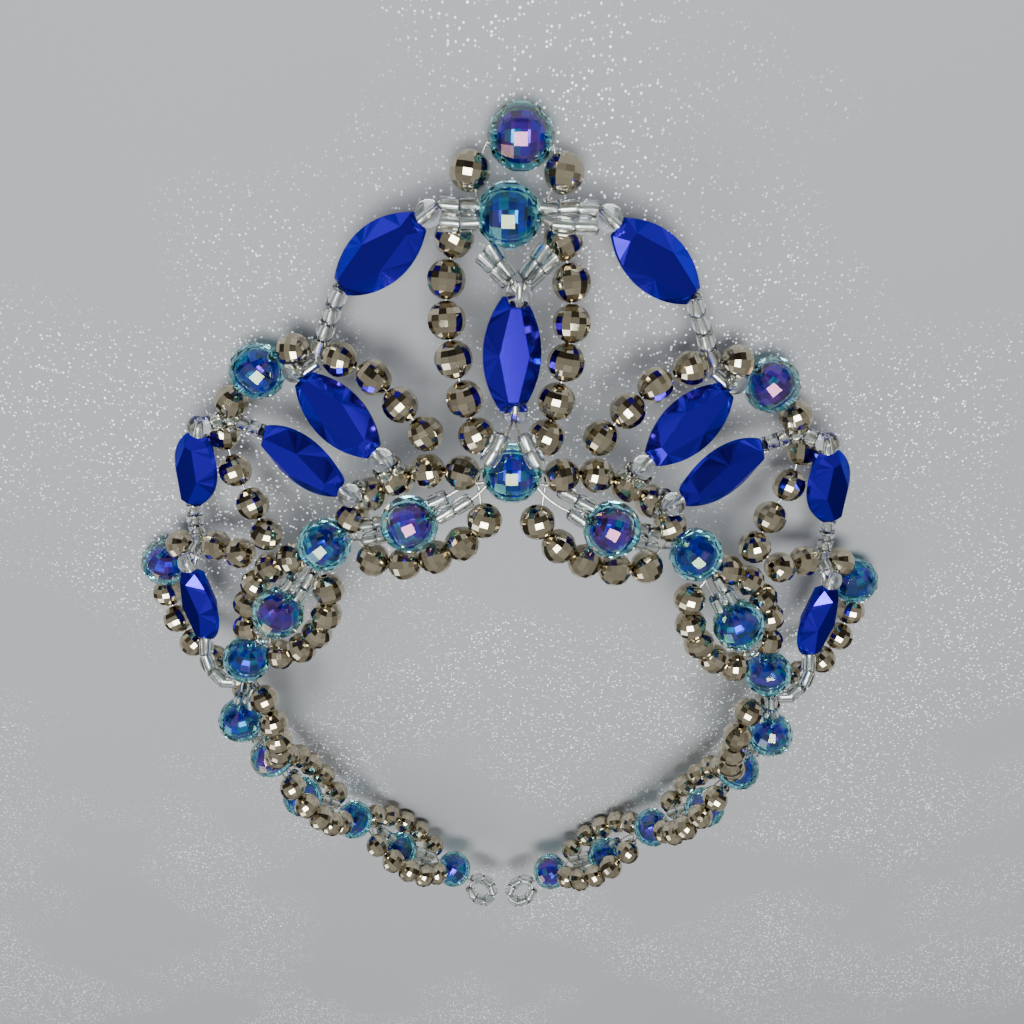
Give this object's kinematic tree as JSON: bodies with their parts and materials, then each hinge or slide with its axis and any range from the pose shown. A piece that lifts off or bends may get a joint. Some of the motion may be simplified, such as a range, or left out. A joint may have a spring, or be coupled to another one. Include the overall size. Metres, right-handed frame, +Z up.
{
  "type": "tiara",
  "caption": "Beaded tiara lying on its back, with blue round beads, ringed silver-toned beads along the headband, and a crown of arches with pointed oval blue beads.",
  "frame": {"origin": "centre of the bounding box's underside, on the surface that the tiara lies on", "axes": "+Y runs from the headband's ends to the crown's peak, +X to the wearer's right, +Z up from the surface"},
  "size_m": [0.1528, 0.2232, 0.0315],
  "materials": {
    "round_bead": "faceted clear blue acrylic with a pearly coat",
    "oval_bead": "faceted deep metallic blue acrylic",
    "metal_bead": "faceted acrylic with a bright silver-toned plating",
    "seed_bead": "clear glass with a silver lining, on thin bright wire"
  },
  "bodies": {
    "root": {"band_bead_0": "round_bead", "band_bead_1_right": "round_bead", "band_bead_2_right": "round_bead", "band_bead_3_right": "round_bead", "band_bead_4_right": "round_bead", "band_bead_5_right": "round_bead", "band_bead_1_left": "round_bead", "band_bead_2_left": "round_bead", "band_bead_3_left": "round_bead", "band_bead_4_left": "round_bead", "band_bead_5_left": "round_bead", "ringed_bead_a_right": "round_bead", "ringed_bead_b_right": "round_bead", "ringed_bead_c_right": "round_bead", "ringed_bead_d_right": "round_bead", "ringed_bead_e_right": "round_bead", "ringed_bead_a_left": "round_bead", "ringed_bead_b_left": "round_bead", "ringed_bead_c_left": "round_bead", "ringed_bead_d_left": "round_bead", "ringed_bead_e_left": "round_bead", "peak_bead": "round_bead", "upper_bead": "round_bead", "shoulder_bead_right": "round_bead", "shoulder_bead_left": "round_bead", "flank_bead_right": "round_bead", "flank_bead_left": "round_bead", "oval_centre": "oval_bead", "oval_top_right": "oval_bead", "oval_front_right": "oval_bead", "oval_inner_right": "oval_bead", "oval_side_right": "oval_bead", "oval_flank_right": "oval_bead", "oval_top_left": "oval_bead", "oval_front_left": "oval_bead", "oval_inner_left": "oval_bead", "oval_side_left": "oval_bead", "oval_flank_left": "oval_bead", "ring_a_right": "metal_bead", "ring_b_right": "metal_bead", "ring_c_right": "metal_bead", "ring_d_right": "metal_bead", "ring_e_right": "metal_bead", "ring_a_left": "metal_bead", "ring_b_left": "metal_bead", "ring_c_left": "metal_bead", "ring_d_left": "metal_bead", "ring_e_left": "metal_bead", "centre_arch_right": "metal_bead", "centre_arch_left": "metal_bead", "shoulder_strand_right": "metal_bead", "shoulder_strand_left": "metal_bead", "flank_strand_right": "metal_bead", "flank_strand_left": "metal_bead", "rear_strand_right": "metal_bead", "rear_strand_left": "metal_bead", "end_loop_right": "seed_bead", "end_loop_left": "seed_bead"}
  },
  "joints": []
}
